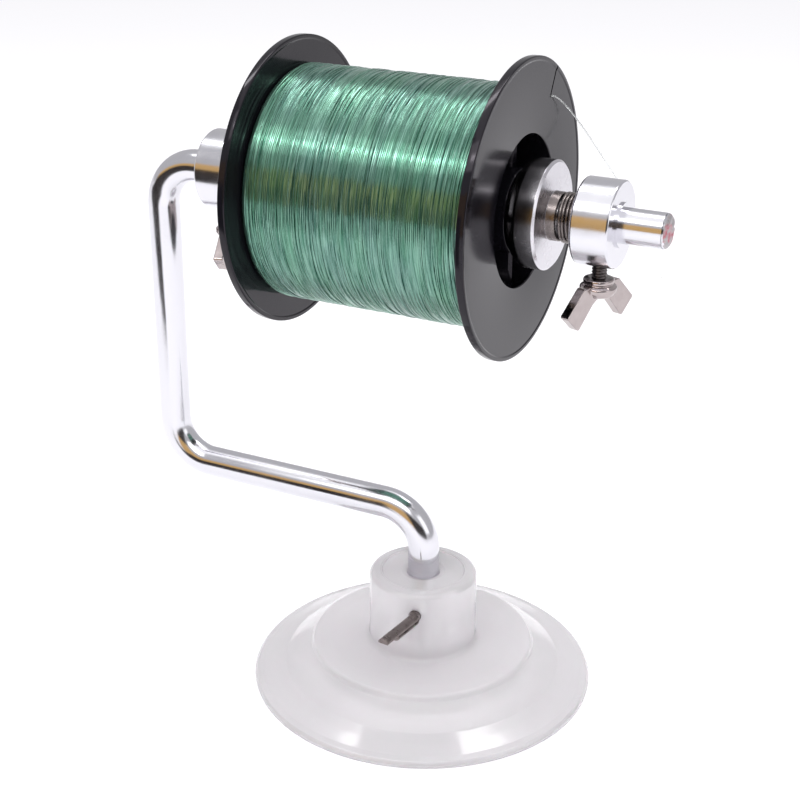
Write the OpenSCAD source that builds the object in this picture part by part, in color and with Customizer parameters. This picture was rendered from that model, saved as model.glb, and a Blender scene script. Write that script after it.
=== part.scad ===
// Bench-top fishing line spool stand: a suction cup carries a bent aluminium rod, and a full spool
// turns on the rod's upper arm between two sprung cones that two wing-screwed collars hold.
// Millimetres. +Z is up and the origin is the centre of the cup's foot. The upper arm is the axle: it
// runs along X, and its free end points to +X.

/* [Suction cup] */
// Diameter of the cup's foot
cup_d = 87; // [84:1:90]
// Diameter of the raised middle step
step_d = 57; // [54:1:60]
// Height of the step's top face
step_z = 10.2; // [9.6:0.2:11]
// Diameter of the neck that grips the rod
neck_d = 27.4; // [24:0.2:30]
// Height of the neck's top face
neck_z = 29.5; // [27:0.5:32]
// Depth of the hollow under the cup
hollow_h = 3.8; // [2.5:0.1:3.9]

/* [Rod] */
// Diameter of the bent rod
rod_d = 8; // [8:0.5:8]
// Distance from the cup's middle to the upright
reach = 74; // [70:1:80]
// Height of the lower arm above the bench
arm_z = 46; // [44:1:52]
// Height of the axle above the bench
axle_z = 126.5; // [120:0.5:140]
// Radius of each bend, at the rod's centre line
bend_r = 11; // [10:0.5:12]
// Where the axle's free end stops, from the cup's middle
axle_end = 57.2; // [57:0.1:62]

/* [Spool] */
// Diameter of the two flanges
flange_d = 68; // [66:1:70]
// Thickness of each flange
flange_t = 1.5; // [1.4:0.1:1.8]
// Overall length of the spool
spool_l = 59; // [59:0.5:59]
// Diameter of the wound line
wound_d = 55.2; // [48:0.2:56]
// Diameter of the hole in each flange
flange_hole_d = 34.5; // [33:0.5:36]

/* [Collars, cones and springs] */
// Diameter of each clamp collar
collar_d = 19.5; // [18:0.5:21]
// Length of each clamp collar
collar_l = 8.7; // [8.7:0.1:9]
// Diameter of each cone's disc
cone_d = 24.6; // [24:0.2:25]
// Outside diameter of each spring
spring_d = 11.4; // [11:0.1:11.6]
// Wire diameter of each spring
spring_wire = 0.8; // [0.6:0.05:0.9]
// Fitted length of each spring
spring_l = 4.8; // [4.6:0.1:5]

/* [Hidden] */
$fn = 96;

// Running clearance on the radius of each bore that slides on the rod
slip = 0.08;
// Clearance of a screw in its thread, and of a screw's tip above the rod
thread_gap = 0.06;
tip_gap = 0.15;

// Cup
foot_r = cup_d / 2;
rim_h = 1.6;
rim_round = 0.6;
foot_band = 2.2;
step_round = 1.2;
shoulder_r = 2.6;
lip_h = 0.25;
fillet_r = 1.5;
rod_seat_z = 12;

// A shallow groove turned in the axle, which marks where the outer collar's outer face is set
groove_w = 0.52;
groove_depth = 0.2;

// Split pin and its cross hole
pin_d = 2.9;
pin_z = 23.6;
pin_turn = 17;
pin_hole_d = 3.2;
pin_slit = 0.12;
pin_eye_d = 6.4;
pin_bend_angle = 24;
pin_long_leg = 13.4;
pin_short_leg = 8.4;

// Spool, measured along the axle
spool_x1 = 23.5;
spool_x0 = spool_x1 - spool_l;
drum_wall = 2.2;
arbor_r = 8.5;
arbor_wall = 1.1;
arbor_recess = 1;
rib_t = 1.1;
rib_recess = 2.5;
rim_bead = 0.35;
slit_w = 0.6;
slit_turn = 28.5;
slit_bottom_r = 26.4;
wound_gap = 0.1;
wound_round = 1.6;

// Cone: a disc with a hub for the spring on its outer face and a blunt nose that enters the arbor
disc_out = 6.9;
disc_l = 4.8;
nose_r = 7.6;
nose_l = 10;
hub_r = 5.5;
hub_l = 2.2;

// Places along the axle
outer_face_x = spool_x1 + disc_out;
outer_spring_x = outer_face_x + hub_l;
outer_collar_x = outer_spring_x + spring_l;
inner_face_x = spool_x0 - disc_out;
inner_spring_x = inner_face_x - hub_l;
inner_collar_x = inner_spring_x - spring_l;

// Spring coil
coil_turns = 4.9;
coil_steps = 20;
coil_sides = 8;

// Wing screw, measured down from the collar's surface
screw_d = 3.5;
neck_h = 2.7;
wing_t = 2.3;
outer_wing_turn = 71.5;
inner_wing_turn = 103;

// Free end of the line: it leaves the flange's slit and springs out round the collar
tail_d = 0.35;
tail_points = [
    [22.4, 12.9, 150], [23.1, 12.9, 150], [23.7, 13.2, 149.9], [24.1, 14.2, 149.6], [24.4, 16.6, 148.4],
    [25, 20.4, 146], [26, 23.8, 142.9], [27.8, 25.4, 139.9], [30.2, 26.4, 136.4], [33.2, 26.9, 132.4],
    [36.2, 27, 128.4], [39.4, 26.8, 124], [42.4, 26.4, 119.6], [45.2, 25.8, 115], [47.6, 25.2, 110.4],
    [49.4, 24.7, 106.4], [50, 24.3, 103.6], [49.9, 24, 101.2],
];
tail_step = 2;

// Points of an arc about [cx, cy] from angle a0 to a1
function arc(cx, cy, r, a0, a1, n = 8) =
    [for (i = [0 : n]) let (a = a0 + (a1 - a0) * i / n) [cx + r * cos(a), cy + r * sin(a)]];

// A point on the smooth curve through p1 and p2 (Catmull-Rom), t from 0 to 1
function curve_point(p0, p1, p2, p3, t) =
    0.5 * (2 * p1 + (p2 - p0) * t + (2 * p0 - 5 * p1 + 4 * p2 - p3) * t * t
    + (3 * p1 - p0 - 3 * p2 + p3) * t * t * t);

// The smooth curve through a list of points, n steps between each two
function smooth(pts, n) =
    let (last = len(pts) - 1)
    [for (i = [0 : last - 1], k = [0 : n - 1])
        curve_point(pts[max(i - 1, 0)], pts[i], pts[i + 1], pts[min(i + 2, last)], k / n),
     pts[last]];

function unit(v) = v / norm(v);
function tangent(pts, i) = unit(pts[min(i + 1, len(pts) - 1)] - pts[max(i - 1, 0)]);

// Vertices of one ring of a tube of radius r about p, square to direction t
function ring(p, t, up, r, sides) =
    let (side = unit(cross(t, up)), top = cross(side, t))
    [for (k = [0 : sides - 1]) p + r * (cos(360 * k / sides) * side + sin(360 * k / sides) * top)];

// A round tube along a path of points
module tube_along(path, r, sides, up) {
    rings = [for (i = [0 : len(path) - 1]) each ring(path[i], tangent(path, i), up, r, sides)];
    last = len(path) - 1;
    walls = [for (i = [0 : last - 1], k = [0 : sides - 1])
        let (a = i * sides + k, b = i * sides + (k + 1) % sides)
        [a, b, b + sides, a + sides]];
    caps = [[for (k = [sides - 1 : -1 : 0]) k], [for (k = [0 : sides - 1]) last * sides + k]];
    polyhedron(points = rings, faces = concat(walls, caps), convexity = 6);
}

// Turns an upright shape so that its +Z axis lies along the axle's +X
module along_axle(x) {
    translate([x, 0, axle_z])
        rotate([0, 90, 0])
            children();
}

// One 90 degree bend of the rod in the XZ plane, about centre [x, z], starting at angle a0
module rod_bend(x, z, a0) {
    translate([x, 0, z])
        rotate([90, 0, 0])
            rotate([0, 0, a0])
                rotate_extrude(angle = 90)
                    translate([bend_r, 0])
                        circle(d = rod_d);
}

// One straight length of the rod between two points
module rod_bar(from, to) {
    length = norm(to - from);
    tilt = acos((to - from)[2] / length);
    turn = atan2((to - from)[1], (to - from)[0]);
    translate(from)
        rotate([0, tilt, turn])
            cylinder(h = length, d = rod_d);
}

module suction_cup() {
    neck_r = neck_d / 2;
    step_r = step_d / 2;
    top_r = neck_r - shoulder_r;
    profile = concat(
        [[0, hollow_h], [foot_r * 0.3, hollow_h - 0.15], [foot_r * 0.62, hollow_h - 0.85]],
        [[foot_r * 0.82, 1.5], [foot_r - foot_band, 0], [foot_r - 0.4, 0]],
        arc(foot_r - rim_round, rim_round, rim_round, -30, 70, 5),
        [[foot_r - 2.2, rim_h + 0.5], [foot_r - 5.5, 3.2], [foot_r - 8.5, 4.4], [foot_r - 11, 5.7]],
        [[step_r + 2.2, 7.4], [step_r + 0.7, 8.4]],
        arc(step_r - step_round, step_z - step_round, step_round, 10, 90, 5),
        arc(neck_r + fillet_r, step_z + fillet_r, fillet_r, 270, 180, 6),
        arc(neck_r - shoulder_r, neck_z - shoulder_r, shoulder_r, 0, 80, 8),
        [[top_r, neck_z - lip_h], [top_r - 0.3, neck_z], [0, neck_z]]
    );
    color([0.93, 0.9, 0.93, 0.6])
        difference() {
            rotate_extrude(angle = 360)
                polygon(profile);
            translate([0, 0, rod_seat_z])
                cylinder(h = neck_z, d = rod_d);
            rotate([0, 0, pin_turn])
                translate([0, 0, pin_z])
                    rotate([90, 0, 0])
                        cylinder(h = neck_d + 4, d = pin_hole_d, center = true);
        }
}

module rod() {
    low_x = -bend_r;
    far_x = bend_r - reach;
    color([0.82, 0.82, 0.85])
        difference() {
            union() {
                rod_bar([0, 0, rod_seat_z], [0, 0, arm_z - bend_r]);
                rod_bend(low_x, arm_z - bend_r, 0);
                rod_bar([low_x, 0, arm_z], [far_x, 0, arm_z]);
                rod_bend(far_x, arm_z + bend_r, 180);
                rod_bar([-reach, 0, arm_z + bend_r], [-reach, 0, axle_z - bend_r]);
                rod_bend(far_x, axle_z - bend_r, 90);
                rod_bar([far_x, 0, axle_z], [axle_end - 0.7, 0, axle_z]);
                along_axle(axle_end - 0.7)
                    cylinder(h = 0.7, d1 = rod_d, d2 = rod_d - 1.4);
            }
            rotate([0, 0, pin_turn])
                translate([0, 0, pin_z])
                    rotate([90, 0, 0])
                        cylinder(h = rod_d + 4, d = pin_hole_d, center = true);
            along_axle(outer_collar_x + collar_l)
                rotate_extrude(angle = 360)
                    translate([rod_d / 2 - groove_depth, 0])
                        square([1, groove_w]);
        }
}

// Half of the pin's round section, above (side 1) or below (side -1) the slit between the two legs
module half_round(side) {
    intersection() {
        circle(d = pin_d, $fn = 48);
        translate([-pin_d, side > 0 ? pin_slit / 2 : -pin_d])
            square([2 * pin_d, pin_d - (side > 0 ? 0 : pin_slit / 2)]);
    }
}

// One leg: straight through the neck, then bent aside and run on to its own length
module pin_leg(side, tail_l) {
    start_y = neck_d / 2 + 2.2;
    elbow_y = -neck_d / 2 - 1.8;
    translate([0, start_y, 0])
        rotate([90, 0, 0])
            linear_extrude(height = start_y - elbow_y + 0.3)
                half_round(side);
    translate([0, elbow_y, 0])
        rotate([90, 0, -pin_bend_angle])
            linear_extrude(height = tail_l)
                half_round(side);
}

module split_pin() {
    eye_y = neck_d / 2 + 2.2 + pin_eye_d / 2 - 1;
    color([0.3, 0.28, 0.27])
        rotate([0, 0, pin_turn])
            translate([0, 0, pin_z]) {
                pin_leg(1, pin_long_leg);
                pin_leg(-1, pin_short_leg);
                translate([0, eye_y, 0])
                    rotate([0, 90, 0])
                        rotate_extrude(angle = 360)
                            translate([pin_eye_d / 2 - 0.7, 0])
                                square([1.4, pin_d - 0.4], center = true);
            }
}

// Section of one flange, from height x up, with a rounded rim that stands slightly proud of both faces
module flange_profile(x) {
    r = flange_d / 2;
    round_r = flange_t / 2;
    polygon(concat(
        [[flange_hole_d / 2, x], [r - 2.2, x], [r - 1.8, x - rim_bead / 2]],
        arc(r - round_r, x + flange_t / 2, round_r, -90, 90, 10),
        [[r - 1.8, x + flange_t + rim_bead / 2], [r - 2.2, x + flange_t], [flange_hole_d / 2, x + flange_t]]
    ));
}

module spool() {
    hole_r = flange_hole_d / 2;
    slit_h = flange_d / 2 - slit_bottom_r + 1;
    color([0.06, 0.06, 0.07])
        difference() {
            along_axle(spool_x0) {
                rotate_extrude(angle = 360)
                    flange_profile(0);
                rotate_extrude(angle = 360)
                    flange_profile(spool_l - flange_t);
                rotate_extrude(angle = 360)
                    translate([hole_r, 0])
                        square([drum_wall, spool_l]);
                rotate_extrude(angle = 360)
                    translate([arbor_r, arbor_recess])
                        square([arbor_wall, spool_l - 2 * arbor_recess]);
                for (a = [0 : 90 : 270])
                    rotate([0, 0, a])
                        translate([arbor_r + arbor_wall / 2, -rib_t / 2, rib_recess])
                            cube([hole_r - arbor_r, rib_t, spool_l - 2 * rib_recess]);
            }
            along_axle(spool_x1 - flange_t - 0.5)
                rotate([0, 0, 180 - slit_turn])
                    translate([slit_bottom_r, -slit_w / 2, -0.2])
                        cube([slit_h, slit_w, flange_t + 2]);
        }
}

module line_winding() {
    drum_r = flange_hole_d / 2 + drum_wall;
    r = wound_d / 2;
    half_l = spool_l / 2 - flange_t - wound_gap;
    color([0.1, 0.5, 0.38])
        along_axle((spool_x0 + spool_x1) / 2)
            rotate_extrude(angle = 360)
                polygon(concat(
                    [[drum_r, -half_l]],
                    arc(r - wound_round, wound_round - half_l, wound_round, -90, 0, 6),
                    arc(r - wound_round, half_l - wound_round, wound_round, 0, 90, 6),
                    [[drum_r, half_l]]
                ));
}

module line_tail() {
    color([0.55, 0.85, 0.75])
        tube_along(smooth(tail_points, tail_step), tail_d / 2, 8, [0, 1, 0.2]);
}

// A cone with its disc's outer face at z = 0, its hub above that and its nose below
module cone() {
    disc_r = cone_d / 2;
    mouth_z = -disc_out - arbor_recess;
    bore_r = rod_d / 2 + slip;
    difference() {
        rotate_extrude(angle = 360)
            polygon(concat(
                [[bore_r, hub_l], [hub_r - 0.2, hub_l], [hub_r, hub_l - 0.2], [hub_r, 0]],
                [[disc_r - 0.3, 0], [disc_r, -0.3]],
                arc(disc_r - 2, -disc_l, 2, 0, -50, 6),
                [[arbor_r - 0.1, mouth_z], [nose_r, mouth_z - 1.6], [nose_r - 0.6, -nose_l - 2]],
                [[nose_r - 1.2, -nose_l - 2.5], [bore_r, -nose_l - 2.5]]
            ));
        cylinder(h = 60, r = bore_r, center = true);
    }
}

// The wire's centre line, from its lower end at z = 0 to its upper end
function coil_path(l) =
    let (r = (spring_d - spring_wire) / 2, n = floor(coil_turns * coil_steps), rise = l - spring_wire)
    [for (i = [0 : n]) let (a = 360 * i / coil_steps)
        [r * cos(a), r * sin(a), spring_wire / 2 + rise * i / n]];

module spring() {
    tube_along(coil_path(spring_l), spring_wire / 2 - 0.01, coil_sides, [0, 0, 1]);
}

// A collar standing on z = 0, with its screw hole along -X, which hangs down on the axle
module collar() {
    r = collar_d / 2;
    chamfer = 0.35;
    difference() {
        rotate_extrude(angle = 360)
            polygon([
                [rod_d / 2, 0], [r - chamfer, 0], [r, chamfer],
                [r, collar_l - chamfer], [r - chamfer, collar_l], [rod_d / 2, collar_l],
            ]);
        translate([0, 0, -1])
            cylinder(h = collar_l + 2, d = rod_d + 2 * slip);
        translate([0, 0, collar_l / 2])
            rotate([0, 90, 0])
                cylinder(h = r + 1, d = screw_d + 2 * thread_gap);
    }
}

// Outline of the two wings: x is the distance from the screw's axis, y the distance down
function wing_side() = [
    [3.2, 5], [5.2, 3.9], [5.9, 4], [6.4, 4.35],
    [11.2, 9.1], [11.4, 9.6], [11.2, 10],
    [8.3, 12.9], [7.8, 13.1], [7.4, 12.9],
    [3.1, 8.3], [2, 7.6], [1, 7.3],
];

// A wing screw that hangs down from z = 0, with its tip reaching up to the rod
module wing_screw() {
    right = wing_side();
    left = [for (i = [len(right) - 1 : -1 : 0]) [-right[i][0], right[i][1]]];
    tip_h = (collar_d - rod_d) / 2 - tip_gap;
    translate([0, 0, -neck_h - 1])
        cylinder(h = neck_h + 1 + tip_h, d = screw_d);
    rotate([180, 0, 0]) {
        rotate_extrude(angle = 360)
            polygon([
                [0, neck_h], [3, neck_h], [3.45, 3.1], [3.45, 3.7], [3.1, 4.1], [3.6, 4.2],
                [4.1, 4.6], [4.15, 5.4], [3.9, 6.2], [3.2, 6.9], [2, 7.3], [0, 7.4],
            ]);
        rotate([90, 0, 0])
            translate([0, 0, -wing_t / 2])
                linear_extrude(height = wing_t)
                    polygon(concat(right, left));
    }
}

module outer_cone() {
    color([0.75, 0.75, 0.78])
        along_axle(outer_face_x)
            cone();
}

module inner_cone() {
    color([0.75, 0.75, 0.78])
        along_axle(inner_face_x)
            mirror([0, 0, 1])
                cone();
}

module outer_spring() {
    color([0.5, 0.48, 0.48])
        along_axle(outer_spring_x)
            spring();
}

module inner_spring() {
    color([0.5, 0.48, 0.48])
        along_axle(inner_spring_x)
            mirror([0, 0, 1])
                spring();
}

module outer_collar() {
    color([0.85, 0.84, 0.86])
        along_axle(outer_collar_x)
            collar();
}

module inner_collar() {
    color([0.85, 0.84, 0.86])
        along_axle(inner_collar_x)
            mirror([0, 0, 1])
                collar();
}

module placed_wing_screw(x, turn) {
    color([0.35, 0.32, 0.3])
        translate([x, 0, axle_z - collar_d / 2])
            rotate([0, 0, turn])
                wing_screw();
}

module outer_wing_screw() {
    placed_wing_screw(outer_collar_x + collar_l / 2, outer_wing_turn);
}

module inner_wing_screw() {
    placed_wing_screw(inner_collar_x - collar_l / 2, inner_wing_turn);
}

suction_cup();
rod();
split_pin();
spool();
line_winding();
line_tail();
outer_cone();
outer_spring();
outer_collar();
outer_wing_screw();
inner_cone();
inner_spring();
inner_collar();
inner_wing_screw();
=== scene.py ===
"""Looks of the fishing line spool stand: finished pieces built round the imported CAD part.

Lengths are in metres in the CAD frame: +Z is up, the origin is the centre of the cup's foot, and the
axle runs along X with its free end at +X. Helpers come first, then camera, line end, pieces and studio.
"""

import math
import random

import bmesh
import bpy
import numpy as np
from mathutils import Matrix, Vector
from mathutils.noise import noise as smooth_noise


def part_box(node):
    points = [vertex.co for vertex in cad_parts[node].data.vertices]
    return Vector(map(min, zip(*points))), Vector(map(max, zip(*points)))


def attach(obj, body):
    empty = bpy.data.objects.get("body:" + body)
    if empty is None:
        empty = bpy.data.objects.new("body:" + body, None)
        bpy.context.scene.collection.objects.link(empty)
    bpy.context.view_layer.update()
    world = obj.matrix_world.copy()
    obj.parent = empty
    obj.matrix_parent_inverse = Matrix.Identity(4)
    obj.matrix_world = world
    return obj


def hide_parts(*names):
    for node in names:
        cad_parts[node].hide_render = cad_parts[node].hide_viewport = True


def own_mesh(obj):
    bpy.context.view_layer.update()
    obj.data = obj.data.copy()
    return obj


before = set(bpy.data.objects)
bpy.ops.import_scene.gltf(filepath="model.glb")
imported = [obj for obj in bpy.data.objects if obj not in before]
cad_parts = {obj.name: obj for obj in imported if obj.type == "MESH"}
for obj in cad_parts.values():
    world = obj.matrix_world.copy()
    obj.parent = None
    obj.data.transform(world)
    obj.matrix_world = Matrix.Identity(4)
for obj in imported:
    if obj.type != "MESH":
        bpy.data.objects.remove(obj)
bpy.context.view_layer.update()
scene = bpy.context.scene

MM = 0.001
TURN = 2 * math.pi

# ---- Places that the frame gives -----------------------------------------------------------------
cup_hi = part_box("suction_cup")[1]
rod_lo, rod_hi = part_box("rod")
spool_lo, spool_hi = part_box("spool")
wound_lo, wound_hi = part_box("line_winding")
cone_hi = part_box("outer_cone")[1]
spring_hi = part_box("outer_spring")[1]
collar_lo, collar_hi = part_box("outer_collar")
inner_cone_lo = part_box("inner_cone")[0]
inner_collar_lo, inner_collar_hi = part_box("inner_collar")

ROD_R = rod_hi.y
AXLE_Z = rod_hi.z - ROD_R
AXLE_END = rod_hi.x
UPRIGHT_X = rod_lo.x + ROD_R
FOOT_R = cup_hi.x
NECK_TOP = cup_hi.z
FLANGE_R = spool_hi.y
COLLAR_R = collar_hi.y
COLLAR_L = collar_hi.x - collar_lo.x
DISC_R = cone_hi.y
SPRING_R = spring_hi.y
WOUND_R = wound_hi.y

# ---- Sizes that a box can't give -----------------------------------------------------------------
ARM_Z = 46 * MM
BEND_R = 11 * MM
SEAT_Z = 12 * MM
NECK_R = 13.7 * MM
STEP_R = 28.5 * MM
STEP_Z = 10.2 * MM
FLANGE_T = 1.5 * MM
HOLE_R = 17.25 * MM
DRUM_WALL = 2.2 * MM
ARBOR_R = 8.5 * MM
HUB_R = 5.5 * MM
HUB_L = 2.2 * MM
PIN_Z = 23.6 * MM
PIN_R = 1.45 * MM
PIN_TURN = math.radians(17)
BORE_R = ROD_R + 0.08 * MM
CROSS_HOLE_R = 1.6 * MM
PIN_SHORT_LEG = 8.4 * MM
PIN_LONG_LEG = 13.4 * MM
SAWN_L = 0.62 * MM
SLIT_FROM_R = 26.4 * MM
SLIT_HALF = 0.3 * MM
SLIT_TURN = math.radians(28.5)
SCREW_HOLE_R = 1.81 * MM
THREAD_DROP = 2.9 * MM


# ---- Mesh helpers ---------------------------------------------------------------------------------
def add_mesh(name, verts, faces, sharp=35.0):
    """A smooth-shaded object whose edges above `sharp` degrees stay crisp."""
    mesh = bpy.data.meshes.new(name)
    mesh.from_pydata([tuple(v) for v in verts], [], faces)
    mesh.validate()
    obj = bpy.data.objects.new(name, mesh)
    scene.collection.objects.link(obj)
    tidy(obj, sharp)
    return obj


def tidy(obj, sharp=35.0):
    """Merges doubled points, turns every face outward and sets the shading."""
    bm = bmesh.new()
    bm.from_mesh(obj.data)
    bmesh.ops.remove_doubles(bm, verts=bm.verts, dist=1e-6)
    bmesh.ops.dissolve_degenerate(bm, edges=bm.edges, dist=1e-7)
    bmesh.ops.recalc_face_normals(bm, faces=bm.faces)
    bm.to_mesh(obj.data)
    bm.free()
    obj.data.shade_smooth()
    obj.data.set_sharp_from_angle(angle=math.radians(sharp))


def rounded(corners, steps=5):
    """The closed outline through (u, v, radius) corners, each rounded to its radius."""
    out = []
    count = len(corners)
    for i, (u, v, radius) in enumerate(corners):
        p = Vector((u, v))
        if radius <= 0:
            out.append((u, v))
            continue
        a = Vector(corners[i - 1][:2]) - p
        b = Vector(corners[(i + 1) % count][:2]) - p
        half = a.angle(b) / 2
        cut = min(radius / math.tan(half), a.length * 0.48, b.length * 0.48)
        radius = cut * math.tan(half)
        centre = p + (a.normalized() + b.normalized()).normalized() * (radius / math.sin(half))
        first = p + a.normalized() * cut - centre
        last = p + b.normalized() * cut - centre
        sweep_angle = first.angle(last)
        for k in range(steps + 1):
            t = k / steps
            w0 = math.sin((1 - t) * sweep_angle) / math.sin(sweep_angle)
            w1 = math.sin(t * sweep_angle) / math.sin(sweep_angle)
            out.append(tuple(centre + first * w0 + last * w1))
    return out


def lathe(outline, sides=192):
    """Vertices and faces of a closed outline of (radius, height) turned about +Z."""
    count = len(outline)
    verts, faces = [], []
    for k in range(sides):
        c, s = math.cos(TURN * k / sides), math.sin(TURN * k / sides)
        verts += [(r * c, r * s, h) for r, h in outline]
        ring, nxt = k * count, (k + 1) % sides * count
        for i in range(count):
            j = (i + 1) % count
            faces.append((ring + i, nxt + i, nxt + j, ring + j))
    return verts, faces


def smooth_path(points, steps):
    """The smooth curve through the points, `steps` to each stretch."""
    pts = [Vector(p) for p in points]
    out = []
    for i in range(len(pts) - 1):
        p0, p1, p2 = pts[max(i - 1, 0)], pts[i], pts[i + 1]
        p3 = pts[min(i + 2, len(pts) - 1)]
        for k in range(steps):
            t = k / steps
            out.append(
                0.5
                * (
                    2 * p1
                    + (p2 - p0) * t
                    + (2 * p0 - 5 * p1 + 4 * p2 - p3) * t * t
                    + (3 * p1 - p0 - 3 * p2 + p3) * t * t * t
                )
            )
    return out + [pts[-1]]


def sweep(path, ups, section):
    """Vertices and faces of a section of (side, up) points swept along a path with an up vector each."""
    verts, faces = [], []
    count = len(section)
    last = len(path) - 1
    for i, p in enumerate(path):
        along = (path[min(i + 1, last)] - path[max(i - 1, 0)]).normalized()
        side = along.cross(ups[i]).normalized()
        up = side.cross(along)
        verts += [p + side * a + up * b for a, b in section]
        if i < last:
            for k in range(count):
                n = (k + 1) % count
                faces.append((i * count + k, i * count + n, (i + 1) * count + n, (i + 1) * count + k))
    faces.append(tuple(reversed(range(count))))
    faces.append(tuple(last * count + k for k in range(count)))
    return verts, faces


def circle(radius, sides):
    return [(radius * math.cos(TURN * k / sides), radius * math.sin(TURN * k / sides)) for k in range(sides)]


def joined(parts):
    """One vertex and face list out of several."""
    verts, faces = [], []
    for part_verts, part_faces in parts:
        base = len(verts)
        verts += list(part_verts)
        faces += [tuple(base + i for i in f) for f in part_faces]
    return verts, faces


def slab(lo, hi):
    """Vertices and faces of a box between two corners."""
    verts = [(x, y, z) for x in (lo[0], hi[0]) for y in (lo[1], hi[1]) for z in (lo[2], hi[2])]
    faces = [(0, 1, 3, 2), (4, 6, 7, 5), (0, 4, 5, 1), (2, 3, 7, 6), (0, 2, 6, 4), (1, 5, 7, 3)]
    return verts, faces


def apply_modifiers(obj):
    graph = bpy.context.evaluated_depsgraph_get()
    mesh = bpy.data.meshes.new_from_object(obj.evaluated_get(graph))
    obj.modifiers.clear()
    obj.data = mesh


def boolean(obj, shape, operation):
    """Joins a closed shape to obj, or cuts it away, and removes the shape."""
    tool = add_mesh("tool", *shape)
    change = obj.modifiers.new("boolean", "BOOLEAN")
    change.solver = "EXACT"
    change.operation = operation
    change.object = tool
    apply_modifiers(obj)
    bpy.data.objects.remove(tool)
    tidy(obj)


def moved(shape, matrix):
    verts, faces = shape
    return [matrix @ Vector(v) for v in verts], faces


def along_axle(x, flip=False):
    """Turns +Z to run along the axle, away from the spool; `flip` is for the upright's side."""
    turn = Matrix.Rotation(math.pi / 2, 4, "Y")
    if flip:
        turn = Matrix.Scale(-1, 4, (1, 0, 0)) @ turn
    return Matrix.Translation((x, 0, AXLE_Z)) @ turn


# ---- Material helpers -----------------------------------------------------------------------------
class Finish:
    """A Principled material and the few node patterns that the finishes share."""

    def __init__(self, name, **constants):
        self.material = bpy.data.materials.new(name)
        self.material.use_nodes = True
        self.tree = self.material.node_tree
        self.shader = self.tree.nodes["Principled BSDF"]
        for socket, value in constants.items():
            self.shader.inputs[socket.replace("_", " ")].default_value = value

    def node(self, kind, inputs=None, **settings):
        made = self.tree.nodes.new(kind)
        for key, value in settings.items():
            setattr(made, key, value)
        for key, value in (inputs or {}).items():
            if isinstance(value, bpy.types.NodeSocket):
                self.tree.links.new(value, made.inputs[key])
            else:
                made.inputs[key].default_value = value
        return made

    def place(self, scale=(1, 1, 1), shift=(0, 0, 0)):
        """The piece's own coordinates, moved by shift and then scaled to cells per metre."""
        coords = self.node("ShaderNodeTexCoord").outputs["Object"]
        offset = self.node("ShaderNodeVectorMath", {0: coords, 1: shift}, operation="ADD")
        return self.node(
            "ShaderNodeVectorMath", {0: offset.outputs[0], 1: scale}, operation="MULTIPLY"
        ).outputs[0]

    def noise(self, where, detail=3.0, roughness=0.55, distortion=0.0):
        inputs = {"Vector": where, "Scale": 1.0, "Detail": detail}
        inputs |= {"Roughness": roughness, "Distortion": distortion}
        return self.node("ShaderNodeTexNoise", inputs).outputs["Fac"]

    def ramp(self, value, stops):
        """Maps a value to the colours or greys of (position, colour) stops."""
        made = self.node("ShaderNodeValToRGB", {"Fac": value})
        points = made.color_ramp.elements
        while len(points) < len(stops):
            points.new(0.5)
        for point, (position, colour) in zip(points, stops):
            point.position = position
            grey = (colour,) * 3 if isinstance(colour, (int, float)) else colour
            point.color = (*grey, 1)
        return made.outputs["Color"]

    def maths(self, operation, a, b=0.0):
        return self.node("ShaderNodeMath", {0: a, 1: b}, operation=operation).outputs[0]

    def mix(self, share, a, b):
        made = self.node("ShaderNodeMix", data_type="RGBA")
        for key, value in (("Factor", share), ("A", a), ("B", b)):
            socket = next(s for s in made.inputs if s.name == key and s.enabled)
            if isinstance(value, bpy.types.NodeSocket):
                self.tree.links.new(value, socket)
            else:
                socket.default_value = value if isinstance(value, (int, float)) else (*value, 1)
        return next(s for s in made.outputs if s.enabled)

    def bump(self, height, strength, depth, under=None):
        """Surface relief of the given depth in metres, on top of another relief if there is one."""
        inputs = {"Height": height, "Strength": strength, "Distance": depth}
        if under is not None:
            inputs["Normal"] = under
        return self.node("ShaderNodeBump", inputs).outputs["Normal"]

    def connect(self, **sockets):
        for socket, value in sockets.items():
            self.tree.links.new(value, self.shader.inputs[socket.replace("_", " ")])
        return self.material

    def from_axle(self):
        """Distance from the axle's centre line, in metres."""
        parts = self.node("ShaderNodeSeparateXYZ", {"Vector": self.place(shift=(0, 0, -AXLE_Z))})
        flat = self.node("ShaderNodeCombineXYZ", {"Y": parts.outputs["Y"], "Z": parts.outputs["Z"]})
        return self.node("ShaderNodeVectorMath", {0: flat.outputs[0]}, operation="LENGTH").outputs["Value"]


def finish_piece(obj, material, body, slot, *nodes):
    """Gives a piece its material and the body it rides on, and hides the CAD nodes it stands for; the slot
    argument is not used.
    """
    obj.data.materials.clear()
    obj.data.materials.append(material)
    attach(obj, body)
    if nodes:
        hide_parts(*nodes)
    return obj


# ---- Camera ---------------------------------------------------------------------------------------
def add_camera():
    yaw, pitch, roll = math.radians(26.34), math.radians(23.12), math.radians(0.51)
    look = Vector((-math.sin(yaw) * math.cos(pitch), math.cos(yaw) * math.cos(pitch), -math.sin(pitch)))
    level = Vector((math.cos(yaw), math.sin(yaw), 0))
    upward = level.cross(look)
    right = level * math.cos(roll) + upward * math.sin(roll)
    up = upward * math.cos(roll) - level * math.sin(roll)
    data = bpy.data.cameras.new("camera")
    data.sensor_width = 36
    data.lens = 66.73
    data.clip_start = 0.01
    data.clip_end = 200
    camera = bpy.data.objects.new("camera", data)
    scene.collection.objects.link(camera)
    turn = Matrix((right, up, -look)).transposed().to_4x4()
    camera.matrix_world = Matrix.Translation((0.14109, -0.29926, 0.21733)) @ turn
    scene.camera = camera


add_camera()


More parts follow.
